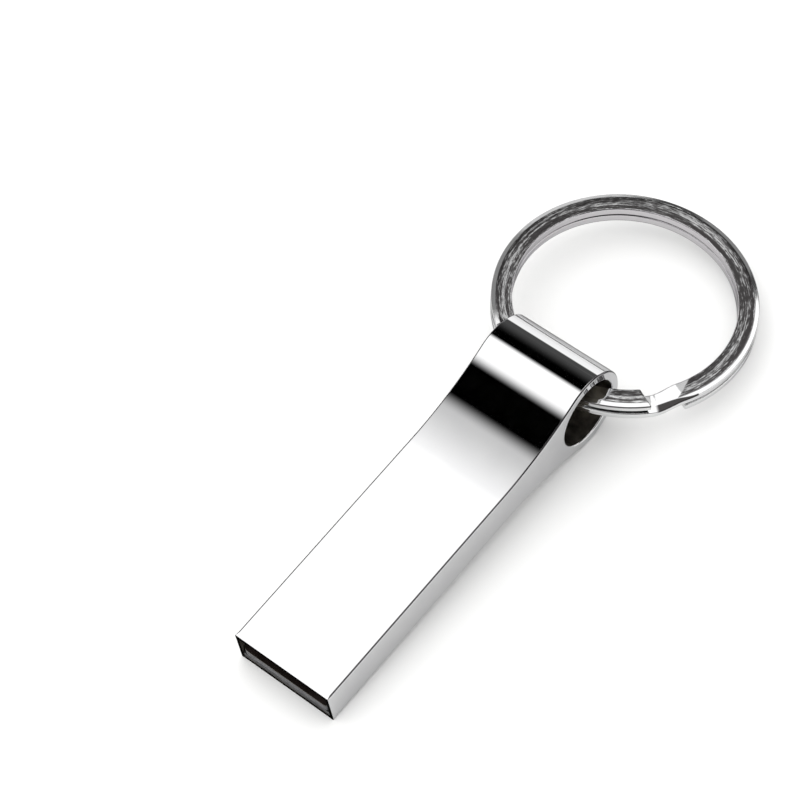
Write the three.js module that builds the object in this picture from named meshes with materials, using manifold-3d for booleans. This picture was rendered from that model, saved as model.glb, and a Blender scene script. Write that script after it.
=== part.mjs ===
// A pocket USB flash drive: a one-piece plated casing that is both plug and eye, a memory module in its
// pocket, and a split key ring through the eye. Millimetres, +Z up.
// The origin is on the plug's flat underside, on its centre line, 6 mm behind the open end.
// +X runs from the plug to the eye, and +Y is to the left of someone looking that way.
import * as THREE from "three";
import { mergeVertices } from "three/addons/utils/BufferGeometryUtils.js";
import Module from "manifold-3d";

// Plug: the outside of a standard Type-A plug.
const PLUG_WIDTH = 12;
const PLUG_HEIGHT = 4.5;
const OPEN_END_X = -6;
const WALL = 0.35;
const POCKET_LENGTH = 25.6;
const SOCKET_TONGUE_ROOM = 1.95;
const CONTACT_Z = PLUG_HEIGHT - WALL - SOCKET_TONGUE_ROOM;

// Eye: a cross bore in a round boss, blended to the plug by two equal hollow flares.
const EYE_X = 35.2;
const EYE_Z = PLUG_HEIGHT / 2;
const EYE_RADIUS = 4.95;
const BORE_RADIUS = 3.95;
const BORE_CHAMFER = 0.25;
const FLARE_RADIUS = 31;

// Split ring: a flat wire wound almost twice round, with one joggle from the upper turn to the lower one.
const RING_RADIUS = 14;
const RING_HOLE_RADIUS = 11.78;
const WIRE_HEIGHT = 0.96;
const WIRE_CORNER = 0.28;
const TURN_GAP = 0.05;
const RING_CENTRE = new THREE.Vector3(48.72, -0.12, 0.3);
const RING_PITCH = 8.4;
const RING_ROLL = 3.3;

// Places round the ring, in degrees from the side away from the eye; the eye is at 180.
const UPPER_END = 224.5;
const JOGGLE_TOP = -117;
const JOGGLE_FOOT = -131;
const LOWER_END = -476.5;
const END_SPREAD = 58;
const UPPER_LIFT = 0.25;
const LOWER_DROP = 0.08;
const DEGREES_PER_STEP = 8;

// Memory module and the pieces that hold it. Pieces that lie on one another keep FILM_GAP between them.
const FILM_GAP = 0.01;
const ADHESIVE_HEIGHT = 0.05;
const MODULE_LENGTH = 24.8;
const MODULE_WIDTH = 10.9;
const MODULE_CORNER = 0.5;
const MODULE_FRONT_X = OPEN_END_X + 0.08;
const MODULE_HEIGHT = 1.05;
const CONTACT_HEIGHT = 0.04;
const SUBSTRATE_HEIGHT = 0.22;
const CARRIER_WIDTH = 11.1;
const CARRIER_STOP = 0.5;
const DIE_GAP = 0.02;

// Heights of the stack in the pocket, from the contacts down.
const SUBSTRATE_TOP = CONTACT_Z - CONTACT_HEIGHT - FILM_GAP;
const MOULD_TOP = SUBSTRATE_TOP - SUBSTRATE_HEIGHT - FILM_GAP;
const MOULD_FOOT = CONTACT_Z - MODULE_HEIGHT;
const MODULE_REAR_X = MODULE_FRONT_X + MODULE_LENGTH;

const PLATED_METAL = { color: 0xe6e8ea, roughness: 0.05, metalness: 1 };
const RING_STEEL = { color: 0xc9cbcd, roughness: 0.16, metalness: 1 };
const BLACK_PLASTIC = { color: 0x141414, roughness: 0.6, metalness: 0 };
const ADHESIVE = { color: 0xd8d2c0, roughness: 0.7, metalness: 0 };
const SOLDER_MASK = { color: 0x17110e, roughness: 0.4, metalness: 0 };
const GOLD = { color: 0xe0b45a, roughness: 0.25, metalness: 1 };
const MOULD_COMPOUND = { color: 0x4a4a4f, roughness: 0.65, metalness: 0 };
const SILICON = { color: 0x5f6470, roughness: 0.2, metalness: 0.6 };
const DIE_FILM = { color: 0xb08a4a, roughness: 0.6, metalness: 0 };
const CERAMIC = { color: 0xb59a78, roughness: 0.5, metalness: 0 };
const RESISTOR_BODY = { color: 0x20242a, roughness: 0.5, metalness: 0 };
const CRYSTAL_CAN = { color: 0xc4c6c8, roughness: 0.3, metalness: 1 };

const wasm = await Module();
wasm.setup();

const radians = THREE.MathUtils.degToRad;

function pieceOf(name, geometry, look) {
  const mesh = new THREE.Mesh(geometry, new THREE.MeshStandardMaterial(look));
  mesh.name = name;
  return mesh;
}

// A closed geometry as a solid that can be cut, and back again.
function solidOf(geometry) {
  const bare = geometry.clone();
  bare.deleteAttribute("normal");
  bare.deleteAttribute("uv");
  const merged = mergeVertices(bare, 1e-4);
  return new wasm.Manifold(
    new wasm.Mesh({
      numProp: 3,
      vertProperties: merged.getAttribute("position").array,
      triVerts: new Uint32Array(merged.getIndex().array),
    }),
  );
}

function geometryOf(solid) {
  const mesh = solid.getMesh();
  const geometry = new THREE.BufferGeometry();
  geometry.setAttribute("position", new THREE.BufferAttribute(mesh.vertProperties, 3));
  geometry.setIndex(new THREE.BufferAttribute(mesh.triVerts, 1));
  const flat = geometry.toNonIndexed();
  flat.computeVertexNormals();
  return flat;
}

// A block between two corners, as [low, high] along each axis.
function blockGeometry([x0, x1], [y0, y1], [z0, z1]) {
  const block = new THREE.BoxGeometry(x1 - x0, y1 - y0, z1 - z0);
  return block.translate((x0 + x1) / 2, (y0 + y1) / 2, (z0 + z1) / 2);
}

// A level plate with rounded corners, from its two ends, its width about centreY and its two heights.
function plateGeometry([x0, x1], centreY, width, [z0, z1], corner) {
  const y0 = centreY - width / 2;
  const y1 = centreY + width / 2;
  const outline = new THREE.Shape();
  outline.moveTo(x0 + corner, y0);
  outline.lineTo(x1 - corner, y0);
  outline.quadraticCurveTo(x1, y0, x1, y0 + corner);
  outline.lineTo(x1, y1 - corner);
  outline.quadraticCurveTo(x1, y1, x1 - corner, y1);
  outline.lineTo(x0 + corner, y1);
  outline.quadraticCurveTo(x0, y1, x0, y1 - corner);
  outline.lineTo(x0, y0 + corner);
  outline.quadraticCurveTo(x0, y0, x0 + corner, y0);
  const plate = new THREE.ExtrudeGeometry(outline, { depth: z1 - z0, bevelEnabled: false, curveSegments: 3 });
  return plate.translate(0, 0, z0);
}

// The casing's side view. Each flare is an arc that leaves the plug's face level and meets the eye's
// circle level with it, so its centre lies straight out from the face and in line with the eye's centre.
function casingOutline() {
  const reach = FLARE_RADIUS + EYE_RADIUS;
  const rise = FLARE_RADIUS + PLUG_HEIGHT / 2;
  const flareX = EYE_X - Math.sqrt(reach * reach - rise * rise);
  const turn = Math.atan2(EYE_X - flareX, rise);
  const quarter = Math.PI / 2;
  const outline = new THREE.Shape();
  outline.moveTo(OPEN_END_X, 0);
  outline.lineTo(flareX, 0);
  outline.absarc(flareX, -FLARE_RADIUS, FLARE_RADIUS, quarter, quarter - turn, true);
  outline.absarc(EYE_X, EYE_Z, EYE_RADIUS, -quarter - turn, quarter + turn, false);
  outline.absarc(flareX, PLUG_HEIGHT + FLARE_RADIUS, FLARE_RADIUS, turn - quarter, -quarter, true);
  outline.lineTo(OPEN_END_X, PLUG_HEIGHT);
  outline.closePath();
  return outline;
}

// What the cross bore takes away: a round bar that widens at both side faces.
function boreGeometry() {
  const side = PLUG_WIDTH / 2;
  const clear = side + 1;
  const mouthRadius = BORE_RADIUS + BORE_CHAMFER;
  const profile = [
    [0, -clear],
    [mouthRadius, -clear],
    [mouthRadius, -side],
    [BORE_RADIUS, BORE_CHAMFER - side],
    [BORE_RADIUS, side - BORE_CHAMFER],
    [mouthRadius, side],
    [mouthRadius, clear],
    [0, clear],
  ];
  const bar = new THREE.LatheGeometry(profile.map(([radius, y]) => new THREE.Vector2(radius, y)), 64);
  return bar.translate(EYE_X, 0, EYE_Z);
}

function casing() {
  const body = new THREE.ExtrudeGeometry(casingOutline(), {
    depth: PLUG_WIDTH,
    bevelEnabled: false,
    curveSegments: 20,
  });
  body.rotateX(Math.PI / 2).translate(0, PLUG_WIDTH / 2, 0);
  const halfPocket = PLUG_WIDTH / 2 - WALL;
  const pocket = blockGeometry(
    [OPEN_END_X - 1, OPEN_END_X + POCKET_LENGTH],
    [-halfPocket, halfPocket],
    [WALL, PLUG_HEIGHT - WALL],
  );
  const shell = solidOf(body).subtract(solidOf(pocket)).subtract(solidOf(boreGeometry()));
  return pieceOf("casing", geometryOf(shell), PLATED_METAL);
}

// The carrier: a floor under the module and an upright stop behind it.
function carrierAndAdhesive() {
  const glueFoot = WALL + FILM_GAP;
  const floorFoot = glueFoot + ADHESIVE_HEIGHT + FILM_GAP;
  const moduleGlueTop = MOULD_FOOT - FILM_GAP;
  const moduleGlueFoot = moduleGlueTop - ADHESIVE_HEIGHT;
  const floorTop = moduleGlueFoot - FILM_GAP;
  const stopX = MODULE_REAR_X + FILM_GAP;
  const across = [-CARRIER_WIDTH / 2, CARRIER_WIDTH / 2];
  const floor = blockGeometry([MODULE_FRONT_X, stopX + CARRIER_STOP], across, [floorFoot, floorTop]);
  const stop = blockGeometry([stopX, stopX + CARRIER_STOP], across, [floorFoot, CONTACT_Z]);
  const carrier = geometryOf(solidOf(floor).add(solidOf(stop)));
  const glueLength = [MODULE_FRONT_X + 2, MODULE_REAR_X - 1];
  const glueWidth = MODULE_WIDTH - 1;
  const lowerGlue = plateGeometry(glueLength, 0, glueWidth, [glueFoot, glueFoot + ADHESIVE_HEIGHT], 0.3);
  const upperGlue = plateGeometry(glueLength, 0, glueWidth, [moduleGlueFoot, moduleGlueTop], 0.3);
  return [
    pieceOf("module_carrier", carrier, BLACK_PLASTIC),
    pieceOf("carrier_adhesive", lowerGlue, ADHESIVE),
    pieceOf("module_adhesive", upperGlue, ADHESIVE),
  ];
}

// The four contacts. The outer pair reaches further forward, so that power joins before data.
function contacts() {
  const outerY = 3.5;
  const innerY = 1;
  const pads = [
    { name: "contact_vbus", y: -outerY, front: 1.3 },
    { name: "contact_d_minus", y: -innerY, front: 2.3 },
    { name: "contact_d_plus", y: innerY, front: 2.3 },
    { name: "contact_ground", y: outerY, front: 1.3 },
  ];
  const padWidth = 1.4;
  const padRearX = MODULE_FRONT_X + 8.7;
  return pads.map(({ name, y, front }) => {
    const length = [MODULE_FRONT_X + front, padRearX];
    const pad = plateGeometry(length, y, padWidth, [CONTACT_Z - CONTACT_HEIGHT, CONTACT_Z], 0.3);
    return pieceOf(name, pad, GOLD);
  });
}

function substrate() {
  const length = [MODULE_FRONT_X, MODULE_REAR_X];
  const heights = [SUBSTRATE_TOP - SUBSTRATE_HEIGHT, SUBSTRATE_TOP];
  const plate = plateGeometry(length, 0, MODULE_WIDTH, heights, MODULE_CORNER);
  return pieceOf("module_substrate", plate, SOLDER_MASK);
}

// What hangs under the substrate inside the moulding compound: each piece's middle, its size along X, Y
// and Z, and the depth of its top below the substrate.
const BURIED = [
  { name: "controller_film", x: 5.2, y: 0, size: [3, 2.8, 0.03], below: 0, look: DIE_FILM },
  { name: "controller_die", x: 5.2, y: 0, size: [2.9, 2.7, 0.16], below: 0.04, look: SILICON },
  { name: "memory_film_upper", x: 12.6, y: 0, size: [9.6, 8.2, 0.03], below: 0, look: DIE_FILM },
  { name: "memory_die_upper", x: 12.6, y: 0, size: [9.6, 8.2, 0.14], below: 0.04, look: SILICON },
  { name: "memory_film_lower", x: 12.1, y: 0, size: [9.6, 8.2, 0.03], below: 0.19, look: DIE_FILM },
  { name: "memory_die_lower", x: 12.1, y: 0, size: [9.6, 8.2, 0.14], below: 0.23, look: SILICON },
  { name: "crystal_resonator", x: 1.2, y: 2.6, size: [2, 1.6, 0.45], below: 0, look: CRYSTAL_CAN },
  { name: "capacitor_supply", x: 1, y: -3.4, size: [1, 0.5, 0.45], below: 0, look: CERAMIC },
  { name: "capacitor_core", x: 1, y: -1.6, size: [1, 0.5, 0.45], below: 0, look: CERAMIC },
  { name: "capacitor_flash", x: 5.2, y: 3.6, size: [1, 0.5, 0.45], below: 0, look: CERAMIC },
  { name: "resistor_bias", x: 5.2, y: -3.6, size: [1, 0.5, 0.35], below: 0, look: RESISTOR_BODY },
];

function buriedGeometry({ x, y, size, below }, play) {
  const [length, width, height] = size;
  const top = MOULD_TOP - FILM_GAP - below;
  return blockGeometry(
    [x - length / 2 - play, x + length / 2 + play],
    [y - width / 2 - play, y + width / 2 + play],
    [top - height - play, top + play],
  );
}

// The moulding compound, with a pocket that opens towards the substrate round each piece it holds.
function mould() {
  const length = [MODULE_FRONT_X, MODULE_REAR_X];
  let block = solidOf(plateGeometry(length, 0, MODULE_WIDTH, [MOULD_FOOT, MOULD_TOP], MODULE_CORNER));
  for (const piece of BURIED) {
    block = block.subtract(solidOf(buriedGeometry(piece, DIE_GAP)));
  }
  return pieceOf("epoxy_mould", geometryOf(block), MOULD_COMPOUND);
}

function buriedPieces() {
  return BURIED.map((piece) => pieceOf(piece.name, buriedGeometry(piece, 0), piece.look));
}

// The wire's cross-section: x is outwards from the ring's middle, y is along the ring's axis.
function wireSection() {
  const halfWidth = (RING_RADIUS - RING_HOLE_RADIUS) / 2;
  const halfHeight = WIRE_HEIGHT / 2;
  const section = new THREE.Shape();
  section.moveTo(-halfWidth + WIRE_CORNER, -halfHeight);
  section.lineTo(halfWidth - WIRE_CORNER, -halfHeight);
  section.quadraticCurveTo(halfWidth, -halfHeight, halfWidth, -halfHeight + WIRE_CORNER);
  section.lineTo(halfWidth, halfHeight - WIRE_CORNER);
  section.quadraticCurveTo(halfWidth, halfHeight, halfWidth - WIRE_CORNER, halfHeight);
  section.lineTo(-halfWidth + WIRE_CORNER, halfHeight);
  section.quadraticCurveTo(-halfWidth, halfHeight, -halfWidth, halfHeight - WIRE_CORNER);
  section.lineTo(-halfWidth, -halfHeight + WIRE_CORNER);
  section.quadraticCurveTo(-halfWidth, -halfHeight, -halfWidth + WIRE_CORNER, -halfHeight);
  return section;
}

// Height of the wire's middle above the ring's middle plane, at an angle along the winding.
function wireLevel(angle) {
  const halfPitch = (WIRE_HEIGHT + TURN_GAP) / 2;
  const joggle = THREE.MathUtils.smoothstep(angle, JOGGLE_FOOT, JOGGLE_TOP);
  const lift = UPPER_LIFT * THREE.MathUtils.smoothstep(angle, UPPER_END - END_SPREAD, UPPER_END);
  const drop = LOWER_DROP * (1 - THREE.MathUtils.smoothstep(angle, LOWER_END, LOWER_END + END_SPREAD));
  return (2 * joggle - 1) * halfPitch + lift - drop;
}

// The wire is extruded straight, then every point of it is carried round the winding.
function splitRing() {
  const sweep = UPPER_END - LOWER_END;
  const wire = new THREE.ExtrudeGeometry(wireSection(), {
    depth: 1,
    steps: Math.round(sweep / DEGREES_PER_STEP),
    bevelEnabled: false,
    curveSegments: 2,
  });
  const middleRadius = (RING_RADIUS + RING_HOLE_RADIUS) / 2;
  const points = wire.getAttribute("position");
  for (let i = 0; i < points.count; i += 1) {
    const angle = UPPER_END - sweep * points.getZ(i);
    const radius = middleRadius + points.getX(i);
    const level = wireLevel(angle) + points.getY(i);
    points.setXYZ(i, radius * Math.cos(radians(angle)), radius * Math.sin(radians(angle)), level);
  }
  wire.computeVertexNormals();
  return pieceOf("key_ring", wire, RING_STEEL);
}

// The ring as it lies: its far side hangs down and it leans a little to one side.
function hungRing() {
  const ring = new THREE.Group();
  ring.position.copy(RING_CENTRE);
  ring.rotation.set(radians(RING_ROLL), radians(RING_PITCH), 0);
  ring.add(splitRing());
  return ring;
}

const drive = new THREE.Group();
drive.add(casing(), ...carrierAndAdhesive(), ...contacts(), substrate(), mould(), ...buriedPieces());
drive.add(hungRing());

export default drive;
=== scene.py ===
# The looks of a plated metal USB flash drive with a split key ring, built round its CAD frame.
# The frame is in metres, +Z up: the origin is on the plug's underside, and +X runs towards the eye.
# Lengths in this script are in millimetres until a mesh or an object is made.
import math
import bpy
from mathutils import Matrix, Vector
from mathutils.geometry import tessellate_polygon


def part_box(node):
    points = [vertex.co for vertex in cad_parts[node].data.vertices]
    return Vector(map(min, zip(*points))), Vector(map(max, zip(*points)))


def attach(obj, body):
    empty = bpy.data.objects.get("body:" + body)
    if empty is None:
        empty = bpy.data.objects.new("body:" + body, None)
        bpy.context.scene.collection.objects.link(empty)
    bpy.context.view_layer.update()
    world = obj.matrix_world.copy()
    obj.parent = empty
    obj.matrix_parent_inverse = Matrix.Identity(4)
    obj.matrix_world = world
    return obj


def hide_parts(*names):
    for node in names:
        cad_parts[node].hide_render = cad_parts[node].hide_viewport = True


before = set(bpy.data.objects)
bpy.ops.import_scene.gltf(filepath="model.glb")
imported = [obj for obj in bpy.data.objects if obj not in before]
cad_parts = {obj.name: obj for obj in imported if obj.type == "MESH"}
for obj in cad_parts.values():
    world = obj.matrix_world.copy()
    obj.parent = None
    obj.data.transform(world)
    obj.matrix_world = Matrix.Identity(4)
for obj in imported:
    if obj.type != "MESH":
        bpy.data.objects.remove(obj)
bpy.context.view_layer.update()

MM = 0.001

# ---------------------------------------------------------------- sizes, in millimetres

casing_low, casing_high = (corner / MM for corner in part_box("casing"))

OPEN_END_X = casing_low.x
PLUG_WIDTH = casing_high.y - casing_low.y
PLUG_HEIGHT = 4.5
WALL = 0.35
POCKET_LENGTH = 25.6
EYE_RADIUS = (casing_high.z - casing_low.z) / 2
EYE_X = casing_high.x - EYE_RADIUS
EYE_Z = PLUG_HEIGHT / 2
BORE_RADIUS = 3.87
BORE_ROUND = 0.20
FLARE_RADIUS = 31.0
EDGE_ROUND = 0.20
EDGE_GROWTH = 0.6
FRONT_ROUND = 0.06
MOUTH_ROUND = 0.06
POCKET_CORNER = 0.25

RING_RADIUS = 14.0
RING_HOLE_RADIUS = 11.78
WIRE_MIDDLE_RADIUS = (RING_RADIUS + RING_HOLE_RADIUS) / 2
WIRE_HALF_WIDTH = (RING_RADIUS - RING_HOLE_RADIUS) / 2
WIRE_HEIGHT = 0.96
TURN_GAP = 0.05
RING_CENTRE = Vector((48.72, -0.12, 0.3))
RING_PITCH = 8.4
RING_ROLL = 3.3

# Places round the ring in degrees from the side away from the eye; the eye is at 180.
UPPER_END = 224.5
JOGGLE_TOP = -117.0
JOGGLE_FOOT = -131.0
LOWER_END = -476.5

# How the wire's free ends spring up and down, and over how many degrees.
UPPER_LIFT = 0.25
LOWER_DROP = 0.08
END_SPREAD = 58.0

# How far the upper end's cut leans for each millimetre across, and over how many degrees it starts to.
END_LEAN = 0.36
LEAN_SPREAD = 15.0


# ---------------------------------------------------------------- mesh building

class Skin:
    """Points with a normal each, and the faces between them. Lengths are in millimetres."""

    def __init__(self):
        self.points = []
        self.normals = []
        self.faces = []
        self.slots = []

    def loop(self, points, normals):
        first = len(self.points)
        self.points.extend(points)
        self.normals.extend(normals)
        return list(range(first, first + len(points)))

    def face(self, corners, slot=0):
        """Adds a face, turned so that it looks the way its points' normals do."""
        places = [Vector(self.points[i]) for i in corners]
        looks = sum((Vector(self.normals[i]) for i in corners), Vector())
        if (places[1] - places[0]).cross(places[-1] - places[0]).dot(looks) < 0:
            corners = corners[::-1]
        self.faces.append(tuple(corners))
        self.slots.append(slot)

    def bridge(self, near, far, slot=0, skip=(), dark=()):
        """Quads between two closed loops of the same length, leaving out skip and giving dark slot 2."""
        count = len(near)
        for i in range(count):
            if i not in skip:
                j = (i + 1) % count
                self.face((near[i], near[j], far[j], far[i]), 2 if i in dark else slot)

    def fill(self, outer, inner, slot=0):
        """Triangles over a flat region between an outer loop and a hole, or over a whole loop."""
        loops = [outer, inner] if inner else [outer]
        flat = [i for loop in loops for i in loop]
        for corners in tessellate_polygon([[Vector(self.points[i]) for i in loop] for loop in loops]):
            self.face(tuple(flat[i] for i in corners), slot)

    def object(self, name, materials):
        mesh = bpy.data.meshes.new(name)
        mesh.from_pydata([tuple(Vector(p) * MM) for p in self.points], [], self.faces)
        for material in materials:
            mesh.materials.append(material)
        mesh.polygons.foreach_set("material_index", self.slots)
        mesh.polygons.foreach_set("use_smooth", [True] * len(self.faces))
        mesh.normals_split_custom_set_from_vertices([tuple(Vector(n).normalized()) for n in self.normals])
        mesh.validate(clean_customdata=False)
        mesh.update()
        made = bpy.data.objects.new(name, mesh)
        bpy.context.scene.collection.objects.link(made)
        return made


def smooth(value, low, high):
    share = min(1.0, max(0.0, (value - low) / (high - low)))
    return share * share * (3 - 2 * share)


def arc(centre, radius, start, end, steps, inward=False):
    """Points and normals along an arc in a plane, from one angle to another, in radians."""
    made = []
    sign = -1 if inward else 1
    for i in range(steps + 1):
        angle = start + (end - start) * i / steps
        direction = (math.cos(angle), math.sin(angle))
        point = (centre[0] + radius * direction[0], centre[1] + radius * direction[1])
        made.append((point, (sign * direction[0], sign * direction[1])))
    return made


# ---------------------------------------------------------------- casing

QUARTER = math.pi / 2


def casing_outline():
    """Side view of the casing as ((x, z), normal) pairs, anticlockwise from the foot of the front face."""
    reach = FLARE_RADIUS + EYE_RADIUS
    rise = FLARE_RADIUS + PLUG_HEIGHT / 2
    flare_x = EYE_X - math.sqrt(reach ** 2 - rise ** 2)
    turn = math.atan2(EYE_X - flare_x, rise)
    front = OPEN_END_X + FRONT_ROUND
    near_front = [front + EDGE_GROWTH * step / 6 for step in range(1, 7)]
    outline = arc((front, FRONT_ROUND), FRONT_ROUND, -2 * QUARTER, -QUARTER, 5)
    outline += [((x, 0.0), (0.0, -1.0)) for x in near_front]
    outline += arc((flare_x, -FLARE_RADIUS), FLARE_RADIUS, QUARTER, QUARTER - turn, 72, inward=True)
    outline += arc((EYE_X, EYE_Z), EYE_RADIUS, -QUARTER - turn, QUARTER + turn, 260)[1:]
    top_centre = (flare_x, PLUG_HEIGHT + FLARE_RADIUS)
    outline += arc(top_centre, FLARE_RADIUS, turn - QUARTER, -QUARTER, 72, inward=True)[1:]
    outline += [((x, PLUG_HEIGHT), (0.0, 1.0)) for x in near_front[::-1]]
    outline += arc((front, PLUG_HEIGHT - FRONT_ROUND), FRONT_ROUND, QUARTER, 2 * QUARTER, 5)
    return outline


def edge_round(x):
    """The long edges' radius: tight at the open end and full a little way behind it."""
    share = smooth(x, OPEN_END_X + FRONT_ROUND, OPEN_END_X + EDGE_GROWTH)
    return FRONT_ROUND + (EDGE_ROUND - FRONT_ROUND) * share


def round_rectangle(half_width, half_height, radius, steps):
    """(y, z) points and outward normals of a rectangle with round corners, about its middle."""
    made = []
    for quarter in range(4):
        start = quarter * QUARTER
        middle = start + QUARTER / 2
        centre = (
            math.copysign(half_width - radius, math.cos(middle)),
            math.copysign(half_height - radius, math.sin(middle)),
        )
        made += arc(centre, radius, start, start + QUARTER, steps)
    return made


def edge_angles(steps):
    return [QUARTER * i / steps for i in range(steps + 1)]


def add_walls(skin, outline):
    """The outside strip with rounded long edges. Returns the side faces' loops and the front's corners."""
    loops = []
    for side in (-1, 1):
        angles = edge_angles(6)
        for angle in angles[::-1] if side < 0 else angles:
            points = []
            for (x, z), n in outline:
                radius = edge_round(x)
                inset = radius * (1 - math.cos(angle))
                y = side * (PLUG_WIDTH / 2 - radius * (1 - math.sin(angle)))
                points.append((x - n[0] * inset, y, z - n[1] * inset))
            level = math.cos(angle)
            out = side * math.sin(angle)
            normals = [(n[0] * level, out, n[1] * level) for _, n in outline]
            loops.append(skin.loop(points, normals))
    middle = len(loops) // 2
    last = len(outline) - 1
    # the open end's round edges take slot 2, the rim painted black for a dark reflection
    front_strips = list(range(5)) + list(range(last - 5, last + 1))
    for i in range(len(loops) - 1):
        skin.bridge(loops[i], loops[i + 1], skip=[last] if i == middle - 1 else (), dark=front_strips)
    front = [loops[middle - 1][0], loops[middle - 1][-1], loops[middle][-1], loops[middle][0]]
    return loops[0], loops[-1], front


def add_pocket(skin, front):
    """The mouth's round edge, the pocket's walls and its end."""
    half_width = PLUG_WIDTH / 2 - WALL
    half_height = PLUG_HEIGHT / 2 - WALL
    section = round_rectangle(half_width, half_height, POCKET_CORNER, 4)
    middle_z = PLUG_HEIGHT / 2

    def place(spread, x, normal_x, normal_out):
        points = [(x, p[0] + n[0] * spread, middle_z + p[1] + n[1] * spread) for p, n in section]
        normals = [(normal_x, normal_out * n[0], normal_out * n[1]) for _, n in section]
        return skin.loop(points, normals)

    loops = []
    for angle in edge_angles(3):
        spread = MOUTH_ROUND * (1 - math.sin(angle))
        x = OPEN_END_X + MOUTH_ROUND * (1 - math.cos(angle))
        loops.append(place(spread, x, -math.cos(angle), -math.sin(angle)))
    end_x = OPEN_END_X + POCKET_LENGTH
    end_round = POCKET_CORNER * 0.6
    for angle in edge_angles(3):
        spread = -end_round * (1 - math.cos(angle))
        x = end_x - end_round * (1 - math.sin(angle))
        loops.append(place(spread, x, -math.sin(angle), -math.cos(angle)))
    # the front face and the mouth's round edge take slot 2, painted black for a dark reflection
    skin.fill(front, loops[0], slot=2)
    for i, (near, far) in enumerate(zip(loops, loops[1:])):
        skin.bridge(near, far, slot=2 if i < 3 else 1)
    skin.fill(loops[-1], None, slot=1)


def add_bore(skin):
    """The cross bore with its round mouths. Returns the loops at the two side faces."""
    half = PLUG_WIDTH / 2
    around = [2 * math.pi * i / 192 for i in range(192)]
    loops = []
    for side in (-1, 1):
        angles = edge_angles(5)
        for angle in angles if side < 0 else angles[::-1]:
            radius = BORE_RADIUS + BORE_ROUND * (1 - math.sin(angle))
            y = side * (half - BORE_ROUND * (1 - math.cos(angle)))
            points = [(EYE_X + radius * math.cos(a), y, EYE_Z + radius * math.sin(a)) for a in around]
            out = side * math.cos(angle)
            back = math.sin(angle)
            normals = [(-back * math.cos(a), out, -back * math.sin(a)) for a in around]
            loops.append(skin.loop(points, normals))
    middle = len(loops) // 2
    for i in range(len(loops) - 1):
        skin.bridge(loops[i], loops[i + 1], slot=1 if i == middle - 1 else 0)
    return loops[0], loops[-1]


def build_casing(materials):
    skin = Skin()
    right, left, front = add_walls(skin, casing_outline())
    add_pocket(skin, front)
    bore_right, bore_left = add_bore(skin)
    skin.fill(right, bore_right)
    skin.fill(left, bore_left)
    return skin.object("casing_shell", materials)


# ---------------------------------------------------------------- split ring

def wire_section():
    """(outward, up) points round the wire's section, anticlockwise from the middle of the outer wall."""
    half_width = WIRE_HALF_WIDTH
    half_height = WIRE_HEIGHT / 2
    inner_round = 0.16
    outer_round = 0.10
    slope_width = 0.62
    slope_drop = 0.13
    crown = 0.012
    # the outer wall and its round corner
    top = [(half_width, 0.0), (half_width, half_height - slope_drop - outer_round - 0.02)]
    centre = (half_width - outer_round, half_height - slope_drop - outer_round)
    top += [p for p, _ in arc(centre, outer_round, 0, QUARTER * 0.88, 5)]
    # the outer slope, which eases into the flat top
    slope_start = half_width - slope_width
    top += [(half_width - outer_round - 0.05, half_height - slope_drop + 0.012)]
    top += [(slope_start + 0.12, half_height - 0.028)]
    top += [(slope_start + 0.03, half_height - 0.008), (slope_start - 0.04, half_height)]
    # the flat top with its slight crown, then the inner wall's round corner
    flat_end = -half_width + inner_round
    for i in range(1, 6):
        x = slope_start - 0.04 + (flat_end + 0.03 - slope_start + 0.04) * i / 6
        top.append((x, half_height + crown * math.sin(math.pi * i / 6)))
    top.append((flat_end + 0.03, half_height))
    centre = (flat_end, half_height - inner_round)
    top += [p for p, _ in arc(centre, inner_round, QUARTER, 2 * QUARTER, 6)]
    top += [(-half_width, half_height - inner_round - 0.03), (-half_width, 0.0)]
    bottom = [(x, -z) for x, z in top[-2:0:-1]]
    return top + bottom


def wire_level(angle):
    """The height of the wire's middle: the two turns lie on each other, and the joggle joins them."""
    half_pitch = (WIRE_HEIGHT + TURN_GAP) / 2
    joggle = smooth(angle, JOGGLE_FOOT, JOGGLE_TOP)
    lift = UPPER_LIFT * smooth(angle, UPPER_END - END_SPREAD, UPPER_END)
    drop = LOWER_DROP * (1 - smooth(angle, LOWER_END, LOWER_END + END_SPREAD))
    return (2 * joggle - 1) * half_pitch + lift - drop


def wire_stations(end_round, count):
    """(angle, inset) from the wire's upper end to its lower one; the insets round off the two ends."""
    curve = [(end_round * (1 - math.cos(a)), end_round * (1 - math.sin(a))) for a in edge_angles(4)]
    ends = [(math.degrees(run / WIRE_MIDDLE_RADIUS), inset) for run, inset in curve]
    first = UPPER_END - math.degrees(end_round / WIRE_MIDDLE_RADIUS)
    last = LOWER_END + math.degrees(end_round / WIRE_MIDDLE_RADIUS)
    stations = [(UPPER_END - run, inset) for run, inset in ends]
    stations += [(first + (last - first) * i / count, 0.0) for i in range(1, count)]
    return stations + [(LOWER_END + run, inset) for run, inset in ends[::-1]]


def wire_points(section, stations):
    """The wire's points in metres, section by section, tilted as the ring lies in the eye."""
    roll = Matrix.Rotation(math.radians(RING_ROLL), 3, "X")
    turn = roll @ Matrix.Rotation(math.radians(RING_PITCH), 3, "Y")
    points = []
    for angle, inset in stations:
        level = wire_level(angle)
        lean = END_LEAN * smooth(angle, UPPER_END - LEAN_SPREAD, UPPER_END)
        shrink_x = 1 - inset / WIRE_HALF_WIDTH
        shrink_z = 1 - inset / (WIRE_HEIGHT / 2)
        for x, z in section:
            turned = math.radians(angle) + lean * (x + WIRE_HALF_WIDTH) / WIRE_MIDDLE_RADIUS
            direction = Vector((math.cos(turned), math.sin(turned), 0))
            at = direction * (WIRE_MIDDLE_RADIUS + x * shrink_x) + Vector((0, 0, level + z * shrink_z))
            points.append(tuple((turn @ at + RING_CENTRE) * MM))
    return points


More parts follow.
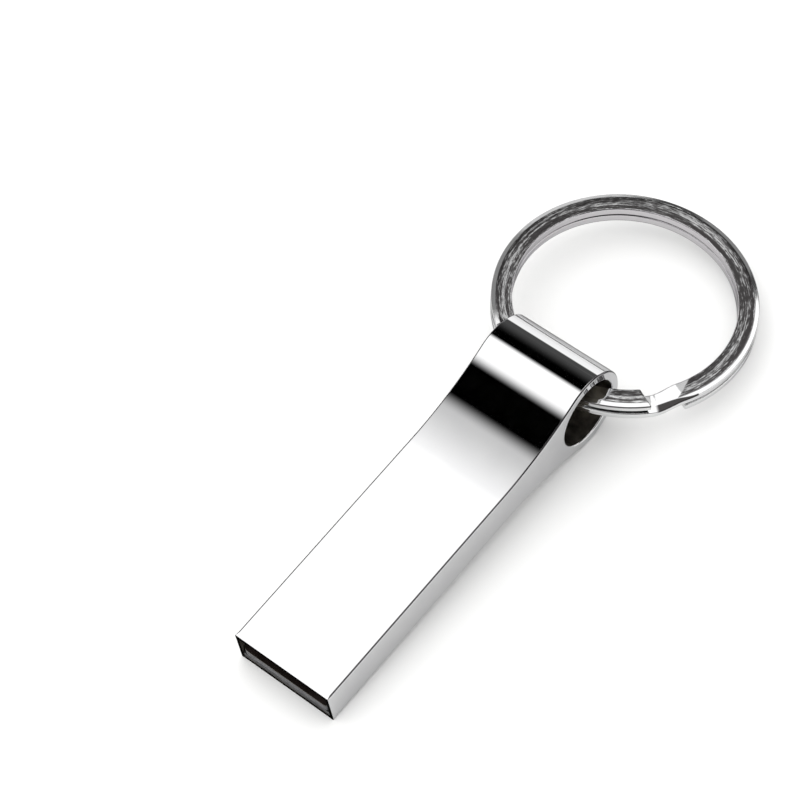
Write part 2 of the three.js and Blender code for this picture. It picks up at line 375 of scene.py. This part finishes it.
def wire_faces(size, count):
    """Quads between the sections, which have size points each, and a flat face at each of the two ends."""
    faces = []
    for s in range(count - 1):
        a = s * size
        b = a + size
        for i in range(size):
            j = (i + 1) % size
            faces.append((a + i, a + j, b + j, b + i))
    faces.append(tuple(range(size))[::-1])
    faces.append(tuple(range((count - 1) * size, count * size)))
    return faces


def build_ring(materials):
    section = wire_section()
    stations = wire_stations(end_round=0.14, count=560)
    points = wire_points(section, stations)
    faces = wire_faces(len(section), len(stations))
    mesh = bpy.data.meshes.new("split_ring")
    mesh.from_pydata(points, [], faces)
    for material in materials:
        mesh.materials.append(material)
    mesh.polygons.foreach_set("use_smooth", [True] * len(faces))
    # each point's place for the finish, in millimetres: along the wire, outward from its middle, and up
    layer = mesh.attributes.new("wire", "FLOAT_VECTOR", "POINT")
    values = []
    for angle, _ in stations:
        for x, z in section:
            values.extend((math.radians(angle) * WIRE_MIDDLE_RADIUS, x, z))
    layer.data.foreach_set("vector", values)
    mesh.update()
    made = bpy.data.objects.new("split_ring", mesh)
    bpy.context.scene.collection.objects.link(made)
    return made


# ---------------------------------------------------------------- materials

class Graph:
    """Short names for the nodes of a procedural shader."""

    def __init__(self, tree):
        self.nodes = tree.nodes
        self.links = tree.links

    def node(self, kind, **settings):
        made = self.nodes.new(kind)
        for key, value in settings.items():
            setattr(made, key, value)
        return made

    def feed(self, socket, value):
        if isinstance(value, bpy.types.NodeSocket):
            self.links.new(value, socket)
        else:
            socket.default_value = value

    def math(self, operation, a, b=0.0):
        made = self.node("ShaderNodeMath", operation=operation)
        self.feed(made.inputs[0], a)
        self.feed(made.inputs[1], b)
        return made.outputs[0]

    def times(self, first, *rest):
        for value in rest:
            first = self.math("MULTIPLY", first, value)
        return first

    def highest(self, first, *rest):
        for value in rest:
            first = self.math("MAXIMUM", first, value)
        return first

    def ramp(self, value, low, high, at_low=0.0, at_high=1.0):
        """A soft step: at_low below low, at_high above high."""
        made = self.node("ShaderNodeMapRange", interpolation_type="SMOOTHSTEP")
        for socket, number in zip(made.inputs, (value, low, high, at_low, at_high)):
            self.feed(socket, number)
        return made.outputs[0]

    def blend(self, share, a, b):
        made = self.node("ShaderNodeMix", data_type="RGBA")
        self.feed(made.inputs["Factor"], share)
        self.feed(made.inputs["A"], a)
        self.feed(made.inputs["B"], b)
        return made.outputs["Result"]

    def noise(self, place, scale, stretch=(1, 1, 1), detail=4.0, shift=0.0):
        """Noise between about 0.3 and 0.7 with scale features per millimetre, along stretched axes."""
        mapping = self.node("ShaderNodeMapping")
        self.feed(mapping.inputs["Vector"], place)
        self.feed(mapping.inputs["Location"], (shift, shift, shift))
        self.feed(mapping.inputs["Scale"], tuple(scale * part for part in stretch))
        made = self.node("ShaderNodeTexNoise")
        self.feed(made.inputs["Vector"], mapping.outputs[0])
        self.feed(made.inputs["Scale"], 1.0)
        self.feed(made.inputs["Detail"], detail)
        return made.outputs["Fac"]

    def millimetres(self):
        """The place on the object, in millimetres."""
        scale = self.node("ShaderNodeVectorMath", operation="SCALE")
        self.feed(scale.inputs[0], self.node("ShaderNodeTexCoord").outputs["Object"])
        self.feed(scale.inputs["Scale"], 1 / MM)
        return scale.outputs[0]

    def edge(self, radius):
        """Near one along edges that a blade of this radius, in millimetres, would touch."""
        bevel = self.node("ShaderNodeBevel", samples=4)
        self.feed(bevel.inputs["Radius"], radius * MM)
        facing = self.node("ShaderNodeVectorMath", operation="DOT_PRODUCT")
        self.feed(facing.inputs[0], bevel.outputs[0])
        self.feed(facing.inputs[1], self.node("ShaderNodeNewGeometry").outputs["Normal"])
        return self.ramp(facing.outputs["Value"], 0.80, 0.99, 1.0, 0.0)


class Finish:
    """A principled material whose colour, roughness and relief come from noise."""

    def __init__(self, name, colours, metallic, roughness, scale):
        self.material = bpy.data.materials.new(name)
        self.material.use_nodes = True
        self.graph = Graph(self.material.node_tree)
        self.shader = self.material.node_tree.nodes["Principled BSDF"]
        self.place = self.graph.millimetres()
        patches = self.graph.noise(self.place, scale)
        share = self.graph.ramp(patches, 0.35, 0.65)
        self.colour = self.graph.blend(share, (*colours[0], 1), (*colours[1], 1))
        smears = self.graph.noise(self.place, scale * 1.7, shift=7.3)
        self.roughness = self.graph.ramp(smears, 0.35, 0.65, roughness[0], roughness[1])
        self.relief = None
        self.graph.feed(self.shader.inputs["Metallic"], metallic)

    def tint(self, share, colour):
        self.colour = self.graph.blend(share, self.colour, (*colour, 1))

    def roughen(self, share, amount):
        self.roughness = self.graph.math("ADD", self.roughness, self.graph.times(share, amount))

    def raise_by(self, field, height):
        """Adds relief: the field times a height in millimetres."""
        part = self.graph.times(field, height * MM)
        self.relief = part if self.relief is None else self.graph.math("ADD", self.relief, part)

    def done(self):
        self.graph.feed(self.shader.inputs["Base Color"], self.colour)
        self.graph.feed(self.shader.inputs["Roughness"], self.roughness)
        if self.relief is not None:
            bump = self.graph.node("ShaderNodeBump")
            self.graph.feed(bump.inputs["Strength"], 1.0)
            self.graph.feed(bump.inputs["Distance"], 1.0)
            self.graph.feed(bump.inputs["Height"], self.relief)
            self.graph.feed(self.shader.inputs["Normal"], bump.outputs[0])
        return self.material


def painted_dark_edges(look):
    """One on the casing's rounded long edges, where a dark reflection is painted into the plating, and
    nothing by the bore.
    """
    graph = look.graph
    turned = graph.node("ShaderNodeSeparateXYZ")
    graph.feed(turned.inputs[0], graph.node("ShaderNodeNewGeometry").outputs["Normal"])
    sideways = graph.math("ABSOLUTE", turned.outputs[1])
    rounded = graph.times(graph.ramp(sideways, 0.06, 0.25), graph.ramp(sideways, 0.85, 0.98, 1.0, 0.0))
    from_axis = graph.node("ShaderNodeVectorMath", operation="MULTIPLY_ADD")
    graph.feed(from_axis.inputs[0], look.place)
    graph.feed(from_axis.inputs[1], (1, 0, 1))
    graph.feed(from_axis.inputs[2], (-EYE_X, 0, -EYE_Z))
    distance = graph.node("ShaderNodeVectorMath", operation="LENGTH")
    graph.feed(distance.inputs[0], from_axis.outputs[0])
    clear = graph.ramp(distance.outputs["Value"], BORE_RADIUS + 0.4, BORE_RADIUS + 0.6)
    return graph.times(rounded, clear)


# The colour that polished metal turns to as it is seen at a grazing angle.
EDGE_TINT = (0.56, 0.56, 0.57, 1)


def shade_grazing(look):
    """Painted shade: the plating's colour and edge tint turn dark where it is seen almost edge on, which
    outlines the object.
    """
    graph = look.graph
    facing = graph.node("ShaderNodeLayerWeight")
    graph.feed(facing.inputs["Blend"], 0.5)
    edge_on = graph.ramp(facing.outputs["Facing"], 0.75, 0.93)
    graph.feed(look.shader.inputs["Specular Tint"], graph.blend(edge_on, EDGE_TINT, (0.06, 0.06, 0.06, 1)))
    # painted shade where the metal is seen almost edge on
    look.tint(graph.times(edge_on, 0.8), (0.08, 0.08, 0.08))


def mirror_plating():
    """Bright plating with faint wipe marks, and a little duller where the edges have been rubbed."""
    look = Finish("mirror_plating", ((0.71, 0.71, 0.715), (0.73, 0.73, 0.733)), 1.0, (0.015, 0.03), 0.25)
    graph = look.graph
    rubbed = graph.times(graph.edge(0.3), graph.ramp(graph.noise(look.place, 1.3), 0.48, 0.62))
    look.tint(graph.times(rubbed, 0.5), (0.56, 0.53, 0.5))
    look.roughen(rubbed, 0.08)
    # painted dark reflection along the casing's rounded long edges
    look.tint(graph.times(painted_dark_edges(look), 0.92), (0.06, 0.055, 0.06))
    wipes = graph.ramp(graph.noise(look.place, 1.0, (0.12, 4.0, 4.0)), 0.6, 0.75)
    look.roughen(wipes, 0.012)
    look.raise_by(graph.noise(look.place, 0.18, detail=1.0), 0.004)
    shade_grazing(look)
    return look.done()


def painted_shade_casting():
    """The inside of the bore and of the pocket: unpolished metal, its colour made dark to paint in the
    shade inside them.
    """
    look = Finish("painted_shade_casting", ((0.10, 0.09, 0.08), (0.34, 0.31, 0.26)), 1.0, (0.34, 0.5), 0.4)
    look.raise_by(look.graph.noise(look.place, 4.0, detail=2.0), 0.004)
    return look.done()


def painted_dark_rim():
    """The cut edge round the mouth, painted black to stand in for a dark reflection, and rubbed bright in a
    few places.
    """
    blacks = ((0.0015, 0.0015, 0.0015), (0.004, 0.0038, 0.0035))
    look = Finish("painted_dark_rim", blacks, 0.0, (0.35, 0.5), 2.0)
    graph = look.graph
    graph.feed(look.shader.inputs["Specular IOR Level"], 0.0)
    rubbed = graph.times(graph.edge(0.05), graph.ramp(graph.noise(look.place, 2.5), 0.6, 0.7))
    look.tint(graph.times(rubbed, 0.06), (0.2, 0.19, 0.18))
    look.raise_by(graph.noise(look.place, 8.0), 0.003)
    return look.done()


# Places in millimetres along the wire: the joggle, and the stretch that the eye has rubbed bright.
# Each one's bright patch ends on a slant, in millimetres along for each one across.
JOGGLE_START = math.radians(JOGGLE_FOOT) * WIRE_MIDDLE_RADIUS
JOGGLE_STOP = math.radians(JOGGLE_TOP) * WIRE_MIDDLE_RADIUS
JOGGLE_SLANT = 1.35
RUB_START = 41.5
RUB_STOP = 46.95
RUB_SLANT = 0.5


def flat_faces(graph, along, across, up):
    """One on the wire's dull flat faces, and nothing on the joggle and where the eye has rubbed it."""
    slanted = graph.math("ADD", along, graph.times(across, JOGGLE_SLANT))
    bent = graph.times(graph.ramp(along, JOGGLE_START - 1.1, JOGGLE_START - 0.7),
                       graph.ramp(slanted, JOGGLE_STOP + 0.1, JOGGLE_STOP + 0.4, 1.0, 0.0))
    skewed = graph.math("ADD", along, graph.times(across, RUB_SLANT))
    rubbed = graph.times(graph.ramp(along, RUB_START - 0.5, RUB_START + 0.5),
                         graph.ramp(skewed, RUB_STOP - 0.25, RUB_STOP + 0.25, 1.0, 0.0))
    level = graph.ramp(graph.math("ABSOLUTE", up), WIRE_HEIGHT / 2 - 0.05, WIRE_HEIGHT / 2 - 0.015)
    return graph.times(level, graph.math("SUBTRACT", 1.0, graph.highest(bent, rubbed)))


def add_streaks(look, wire, flat, across):
    """Dark drawing marks along the flat faces, fewer in a track that wanders along their middle."""
    graph = look.graph

    def marks(stretch, detail, shift=0.0):
        return graph.math("SUBTRACT", graph.noise(wire, 1.0, stretch, detail, shift), 0.5)

    fine = marks((1.5, 8.5, 1.0), 2.0)
    lines = marks((0.07, 4.5, 1.0), 1.0, 14.6)
    broad = marks((0.10, 1.7, 0.5), 2.0, 6.4)
    wander = marks((0.13, 0.0, 0.0), 1.0)
    from_middle = graph.math("ABSOLUTE", graph.math("ADD", graph.math("ADD", across, 0.14), wander))
    worn = graph.ramp(from_middle, 0.10, 0.45, 0.02, -0.06)
    for field, weight in ((fine, 0.55), (lines, 0.45), (broad, 0.3)):
        worn = graph.math("ADD", worn, graph.times(field, weight))
    dark = graph.times(graph.ramp(worn, -0.08, 0.16, 1.0, 0.0), flat)
    look.tint(graph.times(dark, 0.95), (0.04, 0.036, 0.036))
    look.roughen(flat, 0.05)
    look.raise_by(graph.times(fine, flat), 0.010)
    look.raise_by(graph.times(broad, flat), 0.03)


def add_dark_wedge_and_line(look, along, across, up):
    """A wedge of painted shade on the joggle's outer side, and a dark line along the top of the outer wall
    beside the upper free end.
    """
    graph = look.graph
    wedge_border = graph.ramp(along, JOGGLE_START + 0.6, JOGGLE_STOP + 1.6, 0.36, 0.95)
    wedge = graph.times(graph.ramp(graph.math("SUBTRACT", across, wedge_border), -0.05, 0.05),
                        graph.ramp(up, 0.20, 0.25),
                        graph.ramp(along, JOGGLE_START + 0.3, JOGGLE_START + 0.7),
                        graph.ramp(along, JOGGLE_STOP + 1.4, JOGGLE_STOP + 1.6, 1.0, 0.0))
    # painted shade on the joggle's outer slope
    look.tint(graph.times(wedge, 0.97), (0.025, 0.022, 0.022))
    top_line = graph.times(graph.ramp(across, WIRE_HALF_WIDTH - 0.08, WIRE_HALF_WIDTH - 0.04),
                       graph.ramp(up, 0.14, 0.20),
                       graph.ramp(along, RUB_START - 3.5, RUB_START - 0.5))
    # a dark line along the top of the outer wall, beside the upper free end
    look.tint(graph.times(top_line, 0.9), (0.05, 0.045, 0.045))


def shade_walls(look, across, up):
    """A duller inner wall, and painted shade along the walls' lower edges, where the turns meet each other
    and the floor.
    """
    graph = look.graph
    inner = graph.ramp(across, 0.05 - WIRE_HALF_WIDTH, 0.13 - WIRE_HALF_WIDTH, 1.0, 0.0)
    look.tint(inner, (0.54, 0.525, 0.54))
    beside = graph.ramp(graph.math("ABSOLUTE", across), WIRE_HALF_WIDTH - 0.17, WIRE_HALF_WIDTH - 0.11)
    low = graph.ramp(up, 0.12 - WIRE_HEIGHT / 2, 0.22 - WIRE_HEIGHT / 2, 1.0, 0.0)
    # painted shade along the lower edges of the walls
    look.tint(graph.times(beside, low, 0.9), (0.08, 0.075, 0.08))


def ring_wire():
    """Drawn wire: streaked and dark on its flat faces, bright on its walls and on the joggle."""
    look = Finish("ring_wire", ((0.70, 0.70, 0.705), (0.74, 0.74, 0.74)), 1.0, (0.04, 0.10), 0.5)
    graph = look.graph
    wire = graph.node("ShaderNodeAttribute", attribute_name="wire").outputs["Vector"]
    parts = graph.node("ShaderNodeSeparateXYZ")
    graph.feed(parts.inputs[0], wire)
    along, across, up = parts.outputs
    add_streaks(look, wire, flat_faces(graph, along, across, up), across)
    add_dark_wedge_and_line(look, along, across, up)
    shade_walls(look, across, up)
    look.raise_by(graph.noise(wire, 1.0, (0.3, 2.0, 2.0), 1.0, 5.0), 0.006)
    shade_grazing(look)
    return look.done()


def carrier_plastic():
    """Black moulded plastic, a little lighter along its edges."""
    look = Finish("carrier_plastic", ((0.010, 0.010, 0.011), (0.02, 0.02, 0.021)), 0.0, (0.4, 0.55), 0.8)
    graph = look.graph
    look.raise_by(graph.noise(look.place, 9.0), 0.006)
    look.tint(graph.times(graph.edge(0.1), 0.5), (0.06, 0.06, 0.065))
    return look.done()


def mould_compound():
    """Black epoxy with a fine filler speckle."""
    look = Finish("mould_compound", ((0.05, 0.05, 0.055), (0.075, 0.075, 0.08)), 0.0, (0.42, 0.6), 1.2)
    graph = look.graph
    speckle = graph.ramp(graph.noise(look.place, 14.0, detail=2.0), 0.6, 0.72)
    look.tint(graph.times(speckle, 0.6), (0.2, 0.2, 0.2))
    look.tint(graph.times(graph.edge(0.12), 0.5), (0.17, 0.17, 0.175))
    look.raise_by(graph.noise(look.place, 12.0), 0.004)
    return look.done()


def solder_mask():
    """Dark solder mask over glass cloth: the weave shows as a low relief."""
    look = Finish("solder_mask", ((0.010, 0.007, 0.006), (0.018, 0.013, 0.012)), 0.0, (0.22, 0.34), 0.7)
    graph = look.graph
    graph.feed(look.shader.inputs["Specular IOR Level"], 0.2)
    parts = graph.node("ShaderNodeSeparateXYZ")
    graph.feed(parts.inputs[0], look.place)
    weave = [graph.math("SINE", graph.times(part, 12.0)) for part in parts.outputs[:2]]
    look.raise_by(graph.times(weave[0], weave[1]), 0.003)
    look.tint(graph.times(graph.edge(0.08), 0.7), (0.11, 0.10, 0.06))
    return look.done()


def contact_gold():
    """Gold fingers with wipe marks along the plugging direction."""
    look = Finish("contact_gold", ((0.86, 0.60, 0.24), (0.93, 0.70, 0.33)), 1.0, (0.16, 0.3), 0.9)
    graph = look.graph
    wipes = graph.ramp(graph.noise(look.place, 1.0, (0.35, 14.0, 1.0)), 0.52, 0.66)
    look.tint(graph.times(wipes, 0.6), (0.72, 0.66, 0.58))
    look.raise_by(wipes, -0.002)
    look.tint(graph.times(graph.edge(0.06), 0.5), (0.98, 0.84, 0.5))
    return look.done()


def thin_film(name, colours):
    """A thin sticky film with a few trapped bubbles."""
    look = Finish(name, colours, 0.0, (0.3, 0.55), 0.9)
    graph = look.graph
    bubbles = graph.ramp(graph.noise(look.place, 3.0, detail=1.0), 0.62, 0.68)
    look.tint(graph.times(bubbles, 0.5), [min(1.0, part * 1.3) for part in colours[1]])
    look.raise_by(bubbles, 0.006)
    look.tint(graph.times(graph.edge(0.08), 0.4), [part * 0.6 for part in colours[0]])
    return look.done()


def silicon():
    """Bare die: dark, with a fine grid of circuit blocks."""
    look = Finish("silicon", ((0.10, 0.10, 0.13), (0.17, 0.16, 0.19)), 0.6, (0.18, 0.3), 0.6)
    graph = look.graph
    blocks = graph.node("ShaderNodeTexBrick")
    graph.feed(blocks.inputs["Vector"], look.place)
    graph.feed(blocks.inputs["Scale"], 1.4)
    graph.feed(blocks.inputs["Mortar Size"], 0.03)
    look.tint(graph.times(blocks.outputs["Fac"], 0.6), (0.35, 0.3, 0.25))
    look.raise_by(graph.noise(look.place, 10.0), 0.001)
    look.tint(graph.times(graph.edge(0.05), 0.6), (0.3, 0.3, 0.32))
    return look.done()


def chip_part(name, body, long_axis):
    """A small chip part: a ceramic body with tinned ends, across its longest side."""
    look = Finish(name, body, 0.0, (0.3, 0.5), 3.0)
    graph = look.graph
    parts = graph.node("ShaderNodeSeparateXYZ")
    graph.feed(parts.inputs[0], graph.node("ShaderNodeTexCoord").outputs["Generated"])
    from_middle = graph.math("ABSOLUTE", graph.math("SUBTRACT", parts.outputs[long_axis], 0.5))
    ragged = graph.times(graph.noise(look.place, 6.0), 0.05)
    tinned = graph.ramp(graph.math("ADD", from_middle, ragged), 0.29, 0.31)
    look.tint(tinned, (0.72, 0.71, 0.69))
    graph.feed(look.shader.inputs["Metallic"], tinned)
    look.raise_by(graph.noise(look.place, 8.0), 0.004)
    look.tint(graph.times(graph.edge(0.04), 0.4), (0.8, 0.79, 0.76))
    return look.done()


def crystal_can():
    """The resonator's metal can, with fine brush lines."""
    look = Finish("crystal_can", ((0.6, 0.58, 0.53), (0.7, 0.68, 0.63)), 1.0, (0.2, 0.35), 1.5)
    graph = look.graph
    look.raise_by(graph.noise(look.place, 1.0, (1.0, 18.0, 1.0)), 0.002)
    look.tint(graph.times(graph.edge(0.1), 0.5), (0.82, 0.8, 0.76))
    return look.done()


def longest_axis(node):
    size = node.dimensions
    return max(range(3), key=lambda axis: size[axis])


# ---------------------------------------------------------------- build

casing_shell = build_casing([mirror_plating(), painted_shade_casting(), painted_dark_rim()])
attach(casing_shell, "drive")
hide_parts("casing")

split_ring = build_ring([ring_wire()])
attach(split_ring, "ring")
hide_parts("key_ring")

gold = contact_gold()
adhesive = thin_film("adhesive_film", ((0.62, 0.58, 0.45), (0.74, 0.71, 0.6)))
die_film = thin_film("die_film", ((0.46, 0.30, 0.12), (0.56, 0.39, 0.17)))
die = silicon()
LOOKS = {
    "casing": casing_shell.data.materials[0],
    "key_ring": split_ring.data.materials[0],
    "module_carrier": carrier_plastic(),
    "module_substrate": solder_mask(),
    "epoxy_mould": mould_compound(),
    "crystal_resonator": crystal_can(),
}
CERAMIC = ((0.36, 0.27, 0.18), (0.45, 0.35, 0.24))
RESISTOR = ((0.02, 0.02, 0.022), (0.05, 0.05, 0.055))
for name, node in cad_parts.items():
    if name.startswith("contact"):
        look = gold
    elif name.endswith("adhesive"):
        look = adhesive
    elif "_film" in name:
        look = die_film
    elif "_die" in name:
        look = die
    elif name.startswith(("capacitor", "resistor")):
        body = CERAMIC if name.startswith("capacitor") else RESISTOR
        look = chip_part(name + "_finish", body, longest_axis(node))
    else:
        look = LOOKS[name]
    node.data.materials.clear()
    node.data.materials.append(look)


# ---------------------------------------------------------------- stage

# The drive rests on the plug's lower front edge and on the underside of the eye.
FLOOR_TILT = math.atan2(EYE_RADIUS - PLUG_HEIGHT / 2, EYE_X - OPEN_END_X)


def build_floor():
    size = 3.0
    mesh = bpy.data.meshes.new("floor")
    corners = [(-size, -size, 0), (size, -size, 0), (size, size, 0), (-size, size, 0)]
    mesh.from_pydata(corners, [], [(0, 1, 2, 3)])
    floor = bpy.data.objects.new("floor", mesh)
    bpy.context.scene.collection.objects.link(floor)
    floor.location = Vector((OPEN_END_X, 0, 0)) * MM
    floor.rotation_euler = (0, FLOOR_TILT, 0)
    look = Finish("pale_floor", ((0.868, 0.868, 0.86), (0.876, 0.876, 0.87)), 0.0, (0.85, 0.95), 0.02)
    mesh.materials.append(look.done())


def build_camera():
    """A long lens above the plug's open end, looking towards the eye and turned about its line of sight."""
    camera = bpy.data.objects.new("camera", bpy.data.cameras.new("camera"))
    camera.data.sensor_width = 36
    camera.data.lens = 149.9
    camera.data.clip_start = 0.01
    camera.data.clip_end = 10
    place = Vector((-88.94, -126.62, 293.83)) * MM
    forward = Vector((0.334, 0.402, -0.853)).normalized()
    up = Vector((0.701, 0.499, 0.509))
    right = forward.cross(up).normalized()
    up = right.cross(forward)
    camera.matrix_world = Matrix.Translation(place) @ Matrix((right, up, -forward)).transposed().to_4x4()
    bpy.context.scene.collection.objects.link(camera)
    bpy.context.scene.camera = camera


# What polished metal sees overhead: how bright each softbox or card is, and its rectangle of slopes as
# (x / z low, x / z high, y / z low, y / z high, edge softness).
SOFTBOX = 1.48
PALE = 0.54 * SOFTBOX
GREY = 0.3
PANELS = [
    (SOFTBOX, (-0.9, 0.70, -0.24, 0.70, 0.06)),  # overhead
    (SOFTBOX, (0.5, 1.6, -0.27, 0.16, 0.06)),  # lower, beyond the eye
    (SOFTBOX, (-0.9, 0.34, 0.60, 1.05, 0.06)),  # on the far side
    (SOFTBOX, (0.22, 1.00, -0.95, -0.36, 0.04)),  # on the near side
    (PALE, (0.62, 1.08, 0.20, 0.46, 0.04)),  # at the overhead box's edge
    (PALE, (0.60, 2.60, 1.24, 2.20, 0.05)),  # low on the far side
    (GREY, (0.40, 1.55, 0.16, 1.3, 0.08)),  # between the far side and the eye
    (GREY, (1.90, 2.70, -0.10, 0.85, 0.06)),  # low beyond the eye
]


def panel(graph, slopes, edges):
    """One inside a rectangle of slopes and nothing outside it, with soft edges."""
    soft = edges[4]
    shares = []
    for slope, low, high in ((slopes[0], edges[0], edges[1]), (slopes[1], edges[2], edges[3])):
        shares.append(graph.ramp(slope, low - soft, low + soft))
        shares.append(graph.ramp(slope, high - soft, high + soft, 1.0, 0.0))
    return graph.times(*shares)


def polished_view(graph, direction):
    """How bright each direction is to polished metal: the panels, a bright horizon, and room walls."""
    x, y, z = direction
    height = graph.highest(z, 0.02)
    slopes = [graph.math("DIVIDE", side, height) for side in (x, y)]
    panels = [graph.times(panel(graph, slopes, edges), level) for level, edges in PANELS]
    horizon = graph.times(graph.ramp(z, 0.20, 0.26, 1.0, 0.0), graph.ramp(x, 0.45, 0.65), 1.3)
    white_walls = graph.times(
        graph.highest(
            graph.ramp(y, -0.62, -0.50, 1.0, 0.0),
            graph.ramp(x, -0.60, -0.46, 1.0, 0.0),
            graph.ramp(y, 0.60, 0.72),
        ),
        graph.ramp(z, 0.42, 0.52, 1.0, 0.0),
    )
    dim_wall = graph.times(graph.ramp(x, 0.5, 0.8), 0.085)
    return graph.highest(*panels, horizon, white_walls, dim_wall, 0.012)


def matt_view(graph, coordinate):
    """How bright each direction is to everything matt: a white room and a broad key light."""
    towards = graph.node("ShaderNodeVectorMath", operation="DOT_PRODUCT")
    graph.feed(towards.inputs[0], coordinate)
    graph.feed(towards.inputs[1], Vector((-0.05, 0.55, 0.85)).normalized())
    return graph.ramp(towards.outputs["Value"], 0.45, 0.95, 1.12, 1.92)


def build_world():
    world = bpy.data.worlds.new("studio")
    bpy.context.scene.world = world
    world.use_nodes = True
    graph = Graph(world.node_tree)
    coordinate = graph.node("ShaderNodeTexCoord").outputs["Generated"]
    direction = graph.node("ShaderNodeSeparateXYZ")
    graph.feed(direction.inputs[0], coordinate)
    greys = []
    for level in (matt_view(graph, coordinate), polished_view(graph, direction.outputs)):
        grey = graph.node("ShaderNodeCombineColor")
        for socket in grey.inputs:
            graph.feed(socket, level)
        greys.append(grey.outputs[0])
    glossy = graph.node("ShaderNodeLightPath").outputs["Is Glossy Ray"]
    background = world.node_tree.nodes["Background"]
    graph.feed(background.inputs["Color"], graph.blend(glossy, *greys))
    graph.feed(background.inputs["Strength"], 1.0)


# Level cards over the casing that only polished metal sees, and only from close by, in millimetres.
CARD_HEIGHT = 11.25
CARD_FAR_Y = 13.0
CARD_SIGHT = 12.0


def card_material(name, shading):
    """A card that is see-through where its shading says so, and to anything too far from it."""
    material = bpy.data.materials.new(name)
    material.use_nodes = True
    material.node_tree.nodes.clear()
    graph = Graph(material.node_tree)
    place = graph.node("ShaderNodeSeparateXYZ")
    graph.feed(place.inputs[0], graph.node("ShaderNodeTexCoord").outputs["Object"])
    along = graph.math("DIVIDE", place.outputs[0], MM)
    share, glow_level = shading(graph, along)
    sight = graph.math("DIVIDE", graph.node("ShaderNodeLightPath").outputs["Ray Length"], MM)
    share = graph.times(share, graph.ramp(sight, CARD_SIGHT - 0.5, CARD_SIGHT, 1.0, 0.0))
    glow = graph.node("ShaderNodeEmission")
    graph.feed(glow.inputs["Color"], (1, 1, 1, 1))
    graph.feed(glow.inputs["Strength"], glow_level)
    mix = graph.node("ShaderNodeMixShader")
    graph.feed(mix.inputs[0], share)
    graph.links.new(graph.node("ShaderNodeBsdfTransparent").outputs[0], mix.inputs[1])
    graph.links.new(glow.outputs[0], mix.inputs[2])
    graph.links.new(mix.outputs[0], graph.node("ShaderNodeOutputMaterial").inputs["Surface"])
    return material


def flare_shading(graph, along):
    """How solid and how bright the flare's card is: a long grey fade, then black, then a short fade."""
    clear = graph.ramp(along, 22.7, 27.2, 1.0, 0.5)
    clear = graph.times(clear, graph.ramp(along, 26.65, 27.75, 1.0, 0.0))
    share = graph.math("SUBTRACT", 1.0, clear)
    return graph.times(share, graph.ramp(along, 29.95, 30.95, 1.0, 0.0)), 0.0


def eye_shading(graph, along):
    """How solid and how bright the eye's card is: black after a short fade, then faintly lit."""
    return graph.ramp(along, 34.8, 36.15), graph.ramp(along, 38.0, 43.5, 0.0, 0.07)


# Each card's name, shading, low and high x, and the y of its near corners at those two.
CARDS = [
    ("flare_card", flare_shading, 22.7, 30.95, -6.0, -6.0),
    ("eye_card", eye_shading, 34.8, 44.0, -5.0, -2.6),
]


def add_card(name, corners, material):
    mesh = bpy.data.meshes.new(name)
    mesh.from_pydata([tuple(Vector(c) * MM) for c in corners], [], [(0, 1, 2, 3)])
    mesh.materials.append(material)
    card = bpy.data.objects.new(name, mesh)
    bpy.context.scene.collection.objects.link(card)
    for ray in ("camera", "diffuse", "transmission", "volume_scatter", "shadow"):
        setattr(card, "visible_" + ray, False)


def build_cards():
    for name, shading, low, high, near_low, near_high in CARDS:
        corners = [(low, near_low), (high, near_high), (high, CARD_FAR_Y), (low, CARD_FAR_Y)]
        add_card(name, [(x, y, CARD_HEIGHT) for x, y in corners], card_material(name, shading))


build_floor()
build_camera()
build_world()
build_cards()

scene = bpy.context.scene
scene.view_settings.view_transform = "Standard"
scene.view_settings.look = "None"
